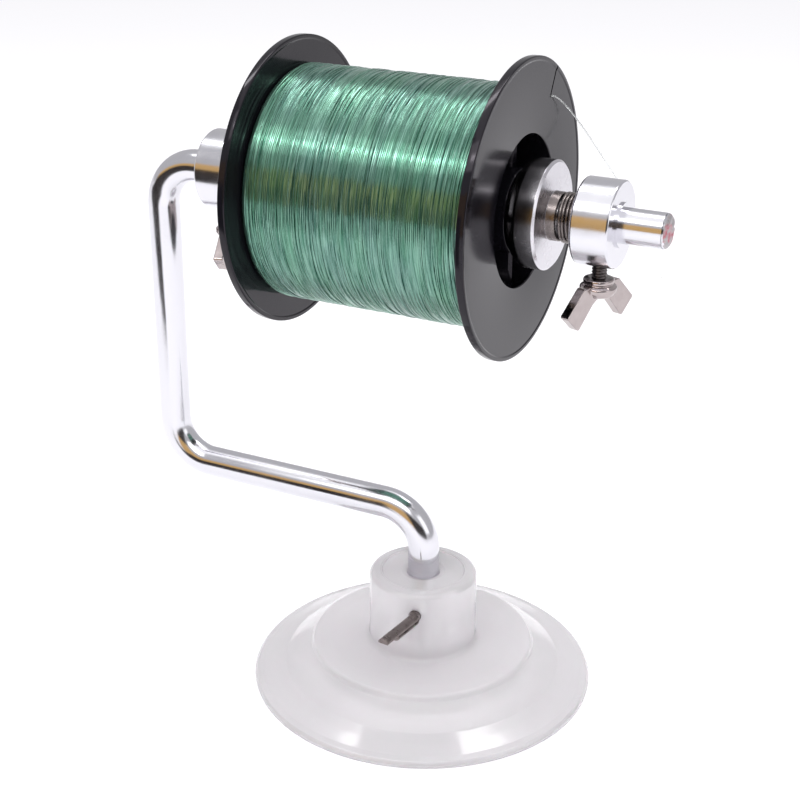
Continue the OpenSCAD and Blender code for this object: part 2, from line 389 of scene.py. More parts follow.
# ---- Line end: the free cord ----------------------------------------------------------------------
TAIL_D = 0.35 * MM
TAIL_POINTS = [
    (22.4, 12.9, 150), (23.1, 12.9, 150), (23.7, 13.2, 149.9), (24.1, 14.2, 149.6), (24.4, 16.6, 148.4),
    (25, 20.4, 146), (26, 23.8, 142.9), (27.8, 25.4, 139.9), (30.2, 26.4, 136.4), (33.2, 26.9, 132.4),
    (36.2, 27, 128.4), (39.4, 26.8, 124), (42.4, 26.4, 119.6), (45.2, 25.8, 115), (47.6, 25.2, 110.4),
    (49.4, 24.7, 106.4), (50, 24.3, 103.6), (49.9, 24, 101.2),
]


def clear_nylon():
    f = Finish(
        "clear_nylon",
        Base_Color=(0.97, 0.99, 0.98, 1),
        Transmission_Weight=0.85,
        IOR=1.25,
    )
    grain = f.noise(f.place((900, 900, 900)), detail=2.0)
    return f.connect(
        Roughness=f.ramp(grain, [(0.3, 0.12), (0.7, 0.28)]),
        Normal=f.bump(grain, 0.3, 0.01 * MM),
    )


def add_line_end():
    path = smooth_path([Vector(p) * MM for p in TAIL_POINTS], 4)
    up = Vector((0, 1, 0.2))
    tail = add_mesh("line_end_strand", *sweep(path, [up] * len(path), circle(TAIL_D / 2, 10)))
    finish_piece(tail, clear_nylon(), "spool", "green_line_end", "line_tail")


add_line_end()


# ---- Suction cup ----------------------------------------------------------------------------------
def milky_plastic():
    f = Finish(
        "milky_plastic",
        Transmission_Weight=0.52,
        Subsurface_Weight=0.5,
        Subsurface_Radius=(1.0, 0.9, 0.95),
        Subsurface_Scale=4 * MM,
        IOR=1.47,
        Coat_Weight=0.35,
        Coat_Roughness=0.06,
    )
    cloud = f.noise(f.place((60, 60, 90)), detail=4.0)
    grain = f.noise(f.place((700, 700, 700)), detail=3.0)
    swell = f.noise(f.place((70, 70, 70)), detail=0.0)
    relief = f.bump(swell, 0.2, 0.3 * MM)
    return f.connect(
        Base_Color=f.mix(cloud, (0.965, 0.918, 0.965), (0.99, 0.966, 0.985)),
        Roughness=f.ramp(cloud, [(0.3, 0.1), (0.7, 0.22)]),
        Normal=f.bump(grain, 0.1, 0.02 * MM, relief),
    )


def cup_outline():
    """The cup's section from the middle of its hollow, out round the rim and up to the neck's bore."""
    rim = FOOT_R
    corners = [
        (0, 3.8 * MM, 0),
        (rim * 0.3, 3.65 * MM, 6 * MM),
        (rim * 0.62, 2.95 * MM, 8 * MM),
        (rim * 0.82, 1.5 * MM, 5 * MM),
        (rim - 2.2 * MM, 0, 0.4 * MM),
        (rim - 0.2 * MM, 0, 0.2 * MM),
        (rim, 0.9 * MM, 0.5 * MM),
        (rim - 0.6 * MM, 1.75 * MM, 0.4 * MM),
        (rim - 2.2 * MM, 2.05 * MM, 1 * MM),
        (rim - 5.5 * MM, 3.3 * MM, 3 * MM),
        (rim - 8.2 * MM, 4.25 * MM, 1.6 * MM),
        (rim - 10.6 * MM, 5.9 * MM, 3 * MM),
        (STEP_R + 1.6 * MM, 7.7 * MM, 2.5 * MM),
        (STEP_R + 0.1 * MM, 8.7 * MM, 0.6 * MM),
        (STEP_R - 0.3 * MM, STEP_Z, 1.1 * MM),
        (STEP_R - 5 * MM, STEP_Z + 0.1 * MM, 3 * MM),
        (NECK_R, STEP_Z, 1.5 * MM),
        (NECK_R - 0.05 * MM, NECK_TOP - 0.3 * MM, 2.4 * MM),
        (NECK_R - 2.7 * MM, NECK_TOP - 0.12 * MM, 0.15 * MM),
        (NECK_R - 2.9 * MM, NECK_TOP, 0.1 * MM),
        (NECK_R - 3.2 * MM, NECK_TOP, 0.1 * MM),
        (NECK_R - 3.35 * MM, NECK_TOP - 0.35 * MM, 0.1 * MM),
        (ROD_R + 1.6 * MM, NECK_TOP - 0.3 * MM, 1 * MM),
        (ROD_R + 0.04 * MM, NECK_TOP - 0.75 * MM, 0.5 * MM),
        (ROD_R + 0.04 * MM, SEAT_Z, 0.3 * MM),
        (0, SEAT_Z, 0),
    ]
    return rounded(corners, 6)


def pin_bore(radius, half_length):
    """The cross hole's cylinder, through the neck along the pin."""
    tilt = Matrix.Rotation(PIN_TURN, 4, "Z") @ Matrix.Rotation(math.pi / 2, 4, "X")
    outline = [(0, -half_length), (radius, -half_length), (radius, half_length), (0, half_length)]
    return moved(lathe(outline, 32), Matrix.Translation((0, 0, PIN_Z)) @ tilt)


def add_cup():
    cup = add_mesh("suction_cup_moulding", *lathe(cup_outline(), 224))
    boolean(cup, pin_bore(CROSS_HOLE_R, NECK_R + 3 * MM), "DIFFERENCE")
    finish_piece(cup, milky_plastic(), "stand", "clear_pvc", "suction_cup")


add_cup()


# ---- Bent rod -------------------------------------------------------------------------------------
def polished_aluminium():
    f = Finish("polished_aluminium", Metallic=1.0, IOR=1.5)
    smudge = f.noise(f.place((45, 45, 45)), detail=4.0)
    scratches = f.noise(f.place((60, 2600, 2600)), detail=2.0)
    drawn = f.noise(f.place((2600, 2600, 60)), detail=2.0)
    pits = f.noise(f.place((1500, 1500, 1500)), detail=3.0)
    waves = f.noise(f.place((95, 95, 95)), detail=1.0)
    lines = f.maths("MULTIPLY", scratches, drawn)
    relief = f.bump(waves, 0.35, 0.12 * MM)
    relief = f.bump(lines, 0.2, 0.02 * MM, relief)
    return f.connect(
        Base_Color=f.mix(smudge, (0.66, 0.655, 0.7), (0.74, 0.735, 0.77)),
        Roughness=f.ramp(smudge, [(0.3, 0.1), (0.72, 0.22)]),
        Normal=f.bump(pits, 0.1, 0.01 * MM, relief),
    )


def sawn_end():
    f = Finish("sawn_end", Metallic=0.75, IOR=1.5)
    stain = f.noise(f.place((420, 420, 420), (0, 0.002, 0.0035)), detail=4.0)
    cuts = f.noise(f.place((900, 900, 3200)), detail=3.0)
    tones = [(0.46, (0.42, 0.4, 0.41)), (0.54, (0.5, 0.27, 0.3)), (0.62, (0.42, 0.1, 0.14))]
    return f.connect(
        Base_Color=f.ramp(stain, tones),
        Roughness=f.ramp(cuts, [(0.3, 0.25), (0.7, 0.55)]),
        Normal=f.bump(cuts, 1.0, 0.16 * MM),
    )


def bend(centre_x, centre_z, start, steps=20):
    """Points of one quarter bend of the rod's centre line, from the start angle on."""
    angles = [start + math.pi / 2 * k / steps for k in range(steps + 1)]
    return [
        Vector((centre_x + BEND_R * math.cos(a), 0, centre_z + BEND_R * math.sin(a))) for a in angles
    ]


def straight(a, b, step=4 * MM):
    """Points between two ends, without the ends."""
    count = max(2, int((b - a).length / step))
    return [a.lerp(b, k / count) for k in range(1, count)]


def rod_path():
    low = bend(-BEND_R, ARM_Z - BEND_R, 0)
    foot = list(reversed(bend(UPRIGHT_X + BEND_R, ARM_Z + BEND_R, math.pi)))
    top = list(reversed(bend(UPRIGHT_X + BEND_R, AXLE_Z - BEND_R, math.pi / 2)))
    start = Vector((0, 0, SEAT_Z + 0.05 * MM))
    end = Vector((AXLE_END - 1.1 * MM, 0, AXLE_Z))
    path = [start] + straight(start, low[0], MM) + low
    path += straight(low[-1], foot[0]) + foot
    path += straight(foot[-1], top[0]) + top
    return path + straight(top[-1], end) + [end]


def add_rod():
    sides = 56
    path = rod_path()
    verts, faces = sweep(path, [Vector((0, 1, 0))] * len(path), circle(ROD_R, sides))
    faces.pop()
    base = len(verts) - sides
    rings = [(3.96, 0.12), (3.8, 0.38), (3.55, 0.68), (3.2, 0.92), (2.8, 1.04)]
    rings += [(2.2, 1.1), (1.6, 1.1), (1, 1.1), (0.5, 1.1)]
    for radius, reach in rings:
        for k in range(sides):
            along, up = circle(radius * MM, sides)[k]
            spot = Vector((up * 520, along * 520, 3.1))
            rough = smooth_noise(spot) * 0.5 + smooth_noise(spot * 2.7) * 0.25
            depth = (reach + min(0.0, rough * (1.0 if radius < 3.7 else 0.5))) * MM
            verts.append(Vector((path[-1].x + depth, 0, AXLE_Z)) + Vector((0, -up, along)))
    end_faces = []
    for ring in range(len(rings)):
        for k in range(sides):
            n = (k + 1) % sides
            a, b = base + ring * sides, base + (ring + 1) * sides
            end_faces.append((a + k, a + n, b + n, b + k))
    end_faces.append(tuple(base + len(rings) * sides + k for k in range(sides)))
    rod = add_mesh("bent_rod_bar", verts, faces + end_faces, sharp=50)
    boolean(rod, pin_bore(CROSS_HOLE_R, ROD_R + 2 * MM), "DIFFERENCE")
    # Drawn as a groove 0.2 mm deep, it comes out as a ring that stands 1 mm proud of the rod.
    floor_r, out_r, width = ROD_R - 0.2 * MM, ROD_R + MM, 0.52 * MM
    groove = lathe([(floor_r, 0), (out_r, 0), (out_r, width), (floor_r, width)], 64)
    boolean(rod, moved(groove, along_axle(collar_hi.x)), "DIFFERENCE")
    finish_piece(rod, polished_aluminium(), "stand", "polished_rod", "rod")
    rod.data.materials.append(sawn_end())
    for face in rod.data.polygons:
        if face.center.x > AXLE_END - SAWN_L:
            face.material_index = 1


add_rod()


# ---- Split pin ------------------------------------------------------------------------------------
def dull_steel(name, dark, light, smoothest=0.2, roughest=0.38):
    f = Finish(name, Metallic=1.0, IOR=1.5)
    stain = f.noise(f.place((420, 420, 420)), detail=4.0)
    grain = f.noise(f.place((3000, 3000, 3000)), detail=2.0)
    swell = f.noise(f.place((650, 650, 650)), detail=1.0)
    relief = f.bump(swell, 0.3, 0.08 * MM)
    return f.connect(
        Base_Color=f.mix(stain, dark, light),
        Roughness=f.ramp(stain, [(0.3, smoothest), (0.7, roughest)]),
        Normal=f.bump(grain, 0.2, 0.015 * MM, relief),
    )


def pin_half_path():
    """The flat side's line of the whole wire: one leg's tip, through the neck, round the eye and back."""
    slit = 0.12 * MM
    eye_r = 1.75 * MM
    eye_y = NECK_R + 4.4 * MM
    bend_y = -NECK_R - 1.8 * MM
    bend_angle = math.radians(24)
    path, outs = [], []

    def leg(side, tail_length):
        """Points from the tip to the neck's far side, and the way that leg's round side faces."""
        tip = Vector((-math.sin(bend_angle), -math.cos(bend_angle), 0)) * tail_length
        elbow = Vector((0, bend_y, side * slit))
        near = [elbow + tip, elbow + tip * 0.66, elbow + tip * 0.33]
        near += [elbow + tip.normalized() * 0.8 * MM, elbow + Vector((-0.08, 0.03, 0)) * MM]
        near += [elbow + Vector((0, 0.9 * MM, 0)), Vector((0, -NECK_R / 2, side * slit))]
        near += [Vector((0, 0, side * slit)), Vector((0, NECK_R / 2, side * slit))]
        near += [Vector((0, NECK_R - 0.5 * MM, side * slit)), Vector((0, NECK_R + 1.2 * MM, side * slit))]
        return smooth_path(near, 5)

    lower = leg(-1, PIN_SHORT_LEG)
    upper = leg(1, PIN_LONG_LEG)
    loop = [
        Vector((0, eye_y - eye_r * math.cos(a), -eye_r * math.sin(a)))
        for a in (math.radians(d) for d in range(24, 337, 12))
    ]
    eye = smooth_path([lower[-1]] + loop + [upper[-1]], 2)[1:-1]
    path = lower + eye + list(reversed(upper))
    for i, p in enumerate(path):
        if i < len(lower):
            outs.append(Vector((0, 0, -1)))
        elif i >= len(lower) + len(eye):
            outs.append(Vector((0, 0, 1)))
        else:
            along = (path[i + 1] - path[i - 1]).normalized()
            outs.append(along.cross(Vector((1, 0, 0))).normalized() * -1)
    return path, outs


def add_split_pin():
    path, outs = pin_half_path()
    flip = 1 if outs[len(outs) // 2].y > 0 else -1
    outs = [o if abs(o.z) == 1 and o.y == 0 else o * flip for o in outs]
    corner = 0.18 * MM
    outline = [(-PIN_R + corner, 0), (PIN_R - corner, 0)]
    for k in range(0, 15):
        a = math.pi * (0.045 + 0.91 * k / 14)
        outline.append((PIN_R * math.cos(a), PIN_R * math.sin(a)))
    place = Matrix.Translation((0, 0, PIN_Z)) @ Matrix.Rotation(PIN_TURN, 4, "Z")
    pin = add_mesh("split_pin_wire", *moved(sweep(path, outs, outline), place), sharp=40)
    soften = pin.modifiers.new("soften", "BEVEL")
    soften.width = 0.12 * MM
    soften.segments = 2
    soften.limit_method = "ANGLE"
    soften.angle_limit = math.radians(50)
    apply_modifiers(pin)
    tidy(pin, 40)
    steel = dull_steel("pin_steel", (0.12, 0.1, 0.095), (0.26, 0.22, 0.215))
    finish_piece(pin, steel, "stand", "pin_steel", "split_pin")


add_split_pin()


# ---- Spool ----------------------------------------------------------------------------------------
def glossy_black():
    f = Finish(
        "glossy_black", IOR=1.46, Specular_IOR_Level=0.32, Specular_Tint=(0.97, 0.9, 1.0, 1)
    )
    scuffs = f.noise(f.place((70, 70, 70)), detail=5.0)
    hairs = f.noise(f.place((90, 90, 2200)), detail=2.0, distortion=0.4)
    peel = f.noise(f.place((520, 520, 520)), detail=1.0)
    rings = f.node(
        "ShaderNodeMath", {0: f.maths("MULTIPLY", f.from_axle(), 9000.0)}, operation="SINE"
    ).outputs[0]
    relief = f.bump(peel, 0.12, 0.04 * MM)
    relief = f.bump(rings, 0.05, 0.004 * MM, relief)
    return f.connect(
        Base_Color=f.mix(scuffs, (0.004, 0.004, 0.006), (0.01, 0.009, 0.012)),
        Roughness=f.ramp(scuffs, [(0.35, 0.08), (0.65, 0.18)]),
        Normal=f.bump(hairs, 0.06, 0.01 * MM, relief),
    )


def flange_ring(near, out):
    """Corners of one flange from its bore outward; out is +1 or -1, the side that faces away."""
    t = FLANGE_T
    bead = 0.18 * MM
    return [
        (HOLE_R, near + out * t, 0.25 * MM),
        (FLANGE_R - 1.2 * MM, near + out * t, 0.3 * MM),
        (FLANGE_R - 0.85 * MM, near + out * (t + bead), 0.3 * MM),
        (FLANGE_R, near + out * (t + bead), 0.3 * MM),
        (FLANGE_R, near - out * bead, 0.3 * MM),
        (FLANGE_R - 0.85 * MM, near - out * bead, 0.3 * MM),
        (FLANGE_R - 1.2 * MM, near, 0.3 * MM),
        (HOLE_R + DRUM_WALL, near, 0.4 * MM),
    ]


def rib_plate(r0, r1, half, wall):
    """One rib between two radii, whose ends are drawn to an edge."""
    side = [(-wall / 2, 0.8 * MM - half), (0, -half), (wall / 2, 0.8 * MM - half)]
    side += [(wall / 2, half - 0.8 * MM), (0, half), (-wall / 2, half - 0.8 * MM)]
    verts = [(r, y, z) for r in (r0, r1) for y, z in side]
    faces = [tuple(reversed(range(6))), tuple(range(6, 12))]
    return verts, faces + [(k, (k + 1) % 6, 6 + (k + 1) % 6, 6 + k) for k in range(6)]


def add_spool():
    half = (spool_hi.x - spool_lo.x) / 2 - 0.175 * MM
    middle = (spool_hi.x + spool_lo.x) / 2
    inner = half - FLANGE_T
    outline = rounded(flange_ring(inner, 1) + list(reversed(flange_ring(-inner, -1))), 5)
    spool = add_mesh("spool_moulding", *moved(lathe(outline, 256), along_axle(middle)))
    tube_half = half - 1 * MM
    wall = 1.1 * MM
    tube = rounded(
        [
            (ARBOR_R, -tube_half, 0.3 * MM),
            (ARBOR_R + wall, -tube_half, 0.2 * MM),
            (ARBOR_R + wall, tube_half, 0.2 * MM),
            (ARBOR_R, tube_half, 0.3 * MM),
        ],
        3,
    )
    boolean(spool, moved(lathe(tube, 128), along_axle(middle)), "UNION")
    for k in range(4):
        rib = rib_plate(ARBOR_R + wall / 2, HOLE_R + DRUM_WALL / 2, half - 2.5 * MM, wall)
        boolean(spool, moved(rib, along_axle(middle) @ Matrix.Rotation(k * math.pi / 2, 4, "Z")), "UNION")
    slit_turn = Matrix.Rotation(math.pi - SLIT_TURN, 4, "Z")
    slit = slab((SLIT_FROM_R, -SLIT_HALF, half - 3 * MM), (FLANGE_R + MM, SLIT_HALF, half + MM))
    boolean(spool, moved(slit, along_axle(middle) @ slit_turn), "DIFFERENCE")
    finish_piece(spool, glossy_black(), "spool", "black_plastic", "spool")


add_spool()


# ---- Wound line -----------------------------------------------------------------------------------
STRAND = 0.42 * MM


def green_nylon():
    f = Finish(
        "green_nylon",
        Metallic=0.8,
        IOR=1.53,
        Coat_Weight=0.35,
        Coat_Roughness=0.14,
    )
    lay = f.noise(f.place((2600, 110, 110), (0, 0, -AXLE_Z)), detail=4.0, distortion=0.3)
    deep = f.noise(f.place((160, 45, 45), (0, 0, -AXLE_Z)), detail=3.0)
    glints = f.noise(f.place((3200, 420, 420), (0, 0, -AXLE_Z)), detail=3.0)
    tone = f.mix(f.ramp(lay, [(0.35, 0.0), (0.72, 1.0)]), (0.02, 0.11, 0.08), (0.25, 0.44, 0.37))
    return f.connect(
        Base_Color=f.mix(f.ramp(deep, [(0.35, 0.0), (0.75, 0.45)]), tone, (0.12, 0.36, 0.2)),
        Roughness=f.ramp(glints, [(0.3, 0.1), (0.7, 0.24)]),
        Normal=f.bump(glints, 0.3, 0.04 * MM, f.bump(lay, 0.25, 0.06 * MM)),
    )


def winding_shell(half, bottom_r):
    """The wound body: a helical groove between neighbouring strands over a slightly uneven lay."""
    sides, per_strand, shoulder = 168, 5, 1.5 * MM
    count = int(2 * half / STRAND * per_strand)
    xs = np.linspace(-half, half, count + 1)
    angle = np.arange(sides) / sides * TURN
    edge = np.clip((np.abs(xs) - (half - shoulder)) / shoulder, 0, 1)
    base = WOUND_R - shoulder * (1 - np.sqrt(1 - edge**2 * 0.98))
    verts = []
    for a in angle:
        c, s = math.cos(a), math.sin(a)
        for x, r in zip(xs, base):
            wander = smooth_noise(Vector((x * 180, c * 1.3, s * 1.3)))
            lumps = smooth_noise(Vector((x * 420, c * 2.2 + 9, s * 2.2)))
            place = (x / STRAND + a / TURN + wander * 0.8) % 1.0
            groove = 1 - math.sqrt(max(0.0, 1 - (2 * place - 1) ** 2))
            radius = r - STRAND * 0.26 * groove + 0.1 * MM * lumps - 0.12 * MM
            verts.append((radius * c, radius * s, x))
    rings = len(xs)
    faces = []
    for k in range(sides):
        n = (k + 1) % sides
        for i in range(rings - 1):
            faces.append((k * rings + i, n * rings + i, n * rings + i + 1, k * rings + i + 1))
    low, high = len(verts), len(verts) + sides
    verts += [(bottom_r * math.cos(a), bottom_r * math.sin(a), -half) for a in angle]
    verts += [(bottom_r * math.cos(a), bottom_r * math.sin(a), half) for a in angle]
    for k in range(sides):
        n = (k + 1) % sides
        faces.append((k * rings, low + k, low + n, n * rings))
        faces.append((k * rings + rings - 1, n * rings + rings - 1, high + n, high + k))
        faces.append((low + k, high + k, high + n, low + n))
    return verts, faces


def crossing_strands(half, count=150):
    """Loose turns that cross the lay at small angles, each diving back under it at both ends."""
    random.seed(21)
    parts = []
    for _ in range(count):
        turns = random.uniform(0.25, 1.1)
        start = random.uniform(0, TURN)
        x0 = random.uniform(-half + 1.2 * MM, half - 1.2 * MM)
        drift = random.uniform(-5, 5) * MM * turns
        x1 = min(max(x0 + drift, -half + MM), half - MM)
        lift = random.uniform(-0.05, 0.07) * MM
        steps = max(14, int(72 * turns))
        path, ups = [], []
        for k in range(steps + 1):
            t = k / steps
            a = start + TURN * turns * t
            sink = 1 - min(1.0, math.sin(math.pi * t) * 3)
            radius = WOUND_R - 0.08 * MM + lift - 0.45 * MM * sink
            wave = 0.25 * MM * smooth_noise(Vector((t * 6, start, x0 * 900)))
            path.append(Vector((radius * math.cos(a), radius * math.sin(a), x0 + (x1 - x0) * t + wave)))
            ups.append(Vector((math.cos(a), math.sin(a), 0)))
        parts.append(sweep(path, ups, circle(0.17 * MM, 6)))
    return joined(parts)


def add_winding():
    half = (wound_hi.x - wound_lo.x) / 2
    place = along_axle((wound_hi.x + wound_lo.x) / 2)
    nylon = green_nylon()
    shell = winding_shell(half, HOLE_R + DRUM_WALL + 0.05 * MM)
    body = add_mesh("wound_line_lay", *moved(shell, place), sharp=60)
    finish_piece(body, nylon, "spool", "green_line", "line_winding")
    over = add_mesh("wound_line_crossings", *moved(crossing_strands(half), place), sharp=60)
    finish_piece(over, nylon, "spool", "green_line", "line_winding")


add_winding()


# ---- Cones, springs and collars -------------------------------------------------------------------
def turned_aluminium(name, dark, light, smoothest, roughest):
    """Aluminium with the fine rings and faint steps of a lathe, about the axle."""
    f = Finish(name, Metallic=1.0, IOR=1.5)
    radius = f.from_axle()
    uneven = f.noise(f.place((160, 160, 160)), detail=3.0)
    ridges = {"W": f.maths("MULTIPLY", radius, 9000.0), "Scale": 1.0, "Detail": 3.0}
    grooves = f.node("ShaderNodeTexNoise", ridges, noise_dimensions="1D").outputs["Fac"]
    bands = f.noise(f.place((5200, 60, 60)), detail=2.0)
    relief = f.bump(grooves, 0.12, 0.015 * MM)
    relief = f.bump(bands, 0.12, 0.012 * MM, relief)
    return f.connect(
        Base_Color=f.mix(uneven, dark, light),
        Roughness=f.ramp(uneven, [(0.3, smoothest), (0.7, roughest)]),
        Normal=relief,
    )


def cone_outline():
    """A cone's section: outer face at height 0, hub above it, domed back and nose below."""
    deep = -12.5 * MM
    return rounded(
        [
            (BORE_R, HUB_L, 0.2 * MM),
            (HUB_R, HUB_L, 0.2 * MM),
            (HUB_R, 0, 0.15 * MM),
            (DISC_R - 0.55 * MM, 0, 0.1 * MM),
            (DISC_R, -0.5 * MM, 0.15 * MM),
            (DISC_R, -4.8 * MM, 1.6 * MM),
            (DISC_R - 1 * MM, -6.4 * MM, 1.2 * MM),
            (ARBOR_R - 0.1 * MM, -7.9 * MM, 0.6 * MM),
            (7.6 * MM, -9.4 * MM, 0.6 * MM),
            (7 * MM, deep, 0.6 * MM),
            (BORE_R, deep, 0.2 * MM),
        ],
        5,
    )


def add_cone(name, body, x, flip, metal, side, bush):
    cone = add_mesh(name + "_turned", *moved(lathe(cone_outline(), 160), along_axle(x, flip)), sharp=30)
    finish_piece(cone, metal, body, "turned_aluminium", name)
    cone.data.materials.append(bush)
    # The back and nose behind the disc take a darker copy of the aluminium: painted shade for the black
    # flange they face.
    cone.data.materials.append(side)
    for face in cone.data.polygons:
        away = (face.center.x - x) * (-1 if flip else 1)
        if away > 0.05 * MM:
            face.material_index = 1
        elif away < -0.55 * MM:
            face.material_index = 2


def coil(length, sides=12, turns=4.9, wire=0.8 * MM):
    """The spring's wire, from height 0 to its length."""
    steps = int(turns * 44)
    radius = SPRING_R - wire / 2
    path, ups = [], []
    for k in range(steps + 1):
        t = k / steps
        a = TURN * turns * t
        rise = t + 0.012 * math.sin(TURN * t * 2)
        path.append(Vector((radius * math.cos(a), radius * math.sin(a), wire / 2 + (length - wire) * rise)))
        ups.append(Vector((0, 0, 1)))
    return sweep(path, ups, circle(wire / 2, sides))


def add_spring(name, body, x, flip, length, steel):
    spring = add_mesh(name + "_wire", *moved(coil(length), along_axle(x, flip)), sharp=60)
    finish_piece(spring, steel, body, "spring_steel", name)
    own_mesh(spring)


def collar_outline():
    chamfer = 0.35 * MM
    return [
        (BORE_R, 0.25 * MM),
        (BORE_R + 0.25 * MM, 0),
        (COLLAR_R - chamfer, 0),
        (COLLAR_R - 0.08 * MM, chamfer * 0.7),
        (COLLAR_R, chamfer * 1.3),
        (COLLAR_R, chamfer * 1.6),
        (COLLAR_R, COLLAR_L - chamfer * 1.6),
        (COLLAR_R, COLLAR_L - chamfer * 1.3),
        (COLLAR_R - 0.08 * MM, COLLAR_L - chamfer * 0.7),
        (COLLAR_R - chamfer, COLLAR_L),
        (BORE_R + 0.25 * MM, COLLAR_L),
        (BORE_R, COLLAR_L - 0.25 * MM),
    ]


def add_collar(name, body, x, flip, metal):
    collar = add_mesh(name + "_ring", *moved(lathe(collar_outline(), 160), along_axle(x, flip)), sharp=30)
    middle = x + (-COLLAR_L if flip else COLLAR_L) / 2
    top = COLLAR_R + MM
    hole = [(0, 0), (SCREW_HOLE_R, 0), (SCREW_HOLE_R, COLLAR_R - 0.5 * MM), (2.2 * MM, top), (0, top)]
    drop = Matrix.Translation((middle, 0, AXLE_Z)) @ Matrix.Rotation(math.pi, 4, "X")
    boolean(collar, moved(lathe(hole, 40), drop), "DIFFERENCE")
    finish_piece(collar, metal, body, "collar_aluminium", name)


# ---- Wing screws ----------------------------------------------------------------------------------
WING_T = 2.3 * MM


def thread(low, high, radius=1.75 * MM, pitch=0.7 * MM, depth=0.3 * MM, sides=36):
    """A threaded rod between two heights, as one closed skin, with a coned tip at the top."""
    per_turn = 12
    count = int((high - low) / pitch * per_turn)
    verts = []
    for i in range(count + 1):
        z = low + (high - low) * i / count
        for k in range(sides):
            a = TURN * k / sides
            place = (z / pitch - a / TURN) % 1.0
            r = radius - depth * (1 - min(1.0, 2.4 * min(place, 1 - place)))
            r = min(r, radius - 0.6 * MM + (high - z))
            verts.append((r * math.cos(a), r * math.sin(a), z))
    faces = []
    for i in range(count):
        for k in range(sides):
            n = (k + 1) % sides
            faces.append((i * sides + k, i * sides + n, (i + 1) * sides + n, (i + 1) * sides + k))
    faces.append(tuple(reversed(range(sides))))
    faces.append(tuple(count * sides + k for k in range(sides)))
    return verts, faces


def wing_plate(side):
    """One wing as a plate: side is +1 or -1, x away from the screw's axis and z down."""
    corners = [
        (1.5, 4.2, 0.5), (4.4, 4.1, 0.9), (6.1, 4.1, 0.8), (11.7, 9.6, 0.5),
        (7.7, 13.4, 0.5), (3, 8.2, 1.2), (1.2, 7.2, 0.5),
    ]
    outline = rounded([(u * MM, v * MM, r * MM) for u, v, r in corners], 4)
    count = len(outline)
    verts = [(side * u, y, -v) for y in (-WING_T / 2, WING_T / 2) for u, v in outline]
    faces = [tuple(range(count)), tuple(reversed(range(count, 2 * count)))]
    for k in range(count):
        n = (k + 1) % count
        faces.append((k, count + k, count + n, n))
    return verts, faces


def wing_head():
    """Hub rings and both wings, fused into one casting that hangs from height 0."""
    hub = rounded(
        [(0, -2.6 * MM, 0)]
        + [
            (r * MM, -z * MM, f * MM)
            for r, z, f in (
                (2.4, 2.6, 0.2), (3.45, 2.95, 0.4), (3.5, 3.75, 0.3), (3.0, 4.05, 0.2), (3.55, 4.25, 0.2),
                (4.2, 4.7, 0.4), (4.2, 5.6, 0.5), (3.6, 6.6, 0.6), (2, 7.35, 0.6),
            )
        ]
        + [(0, -7.45 * MM, 0)],
        4,
    )
    head = add_mesh("tool_head", *joined([lathe(hub, 64), wing_plate(1), wing_plate(-1)]))
    fuse = head.modifiers.new("fuse", "REMESH")
    fuse.mode = "VOXEL"
    fuse.voxel_size = 0.12 * MM
    relax = head.modifiers.new("relax", "SMOOTH")
    relax.factor = 0.5
    relax.iterations = 4
    apply_modifiers(head)
    shape = [v.co.copy() for v in head.data.vertices], [tuple(p.vertices) for p in head.data.polygons]
    bpy.data.objects.remove(head)
    return shape


def add_wing_screw(name, body, x, turn, head, metal, threads):
    place = Matrix.Translation((x, 0, AXLE_Z - COLLAR_R)) @ Matrix.Rotation(math.radians(turn), 4, "Z")
    shank = thread(-3.2 * MM, COLLAR_R - ROD_R - 0.15 * MM)
    screw = add_mesh(name + "_casting", *moved(joined([head, shank]), place), sharp=50)
    finish_piece(screw, metal, body, "nickel_screw", name)
    screw.data.materials.append(threads)
    for face in screw.data.polygons:
        if face.center.z > AXLE_Z - COLLAR_R - THREAD_DROP:
            face.material_index = 1


def add_clamps():
    cone_metal = turned_aluminium("turned_aluminium", (0.6, 0.585, 0.625), (0.69, 0.675, 0.71), 0.2, 0.32)
    collar_metal = turned_aluminium("collar_aluminium", (0.66, 0.655, 0.7), (0.74, 0.735, 0.77), 0.12, 0.22)
    # A darker copy of the cone's aluminium, painted shade for the cone's back and nose.
    painted_shade_side_metal = turned_aluminium("turned_side_painted_shade", (0.16, 0.155, 0.165), (0.3, 0.29, 0.305), 0.16, 0.3)
    steel = dull_steel("spring_steel", (0.15, 0.13, 0.125), (0.27, 0.24, 0.23))
    nickel = dull_steel("nickel_plate", (0.36, 0.31, 0.305), (0.5, 0.445, 0.44), 0.08, 0.2)
    threads = dull_steel("thread_steel", (0.09, 0.08, 0.075), (0.2, 0.175, 0.17), 0.14, 0.3)
    head = wing_head()
    outer_face = cone_hi.x - HUB_L
    inner_face = inner_cone_lo.x + HUB_L
    add_cone("outer_cone", "outer_cone", outer_face, False, cone_metal, painted_shade_side_metal, steel)
    add_cone("inner_cone", "inner_cone", inner_face, True, cone_metal, painted_shade_side_metal, steel)
    add_spring(
        "outer_spring", "outer_collar", cone_hi.x, False, collar_lo.x - cone_hi.x,
        steel,
    )
    add_spring(
        "inner_spring", "inner_collar", inner_cone_lo.x, True, inner_cone_lo.x - inner_collar_hi.x,
        steel,
    )
    add_collar("outer_collar", "outer_collar", collar_lo.x, False, collar_metal)
    add_collar("inner_collar", "inner_collar", inner_collar_hi.x, True, collar_metal)
    outer_x = (collar_lo.x + collar_hi.x) / 2
    inner_x = (inner_collar_lo.x + inner_collar_hi.x) / 2
    add_wing_screw("outer_wing_screw", "outer_wing_screw", outer_x, 71.5, head, nickel, threads)
    add_wing_screw("inner_wing_screw", "inner_wing_screw", inner_x, 103, head, nickel, threads)


add_clamps()


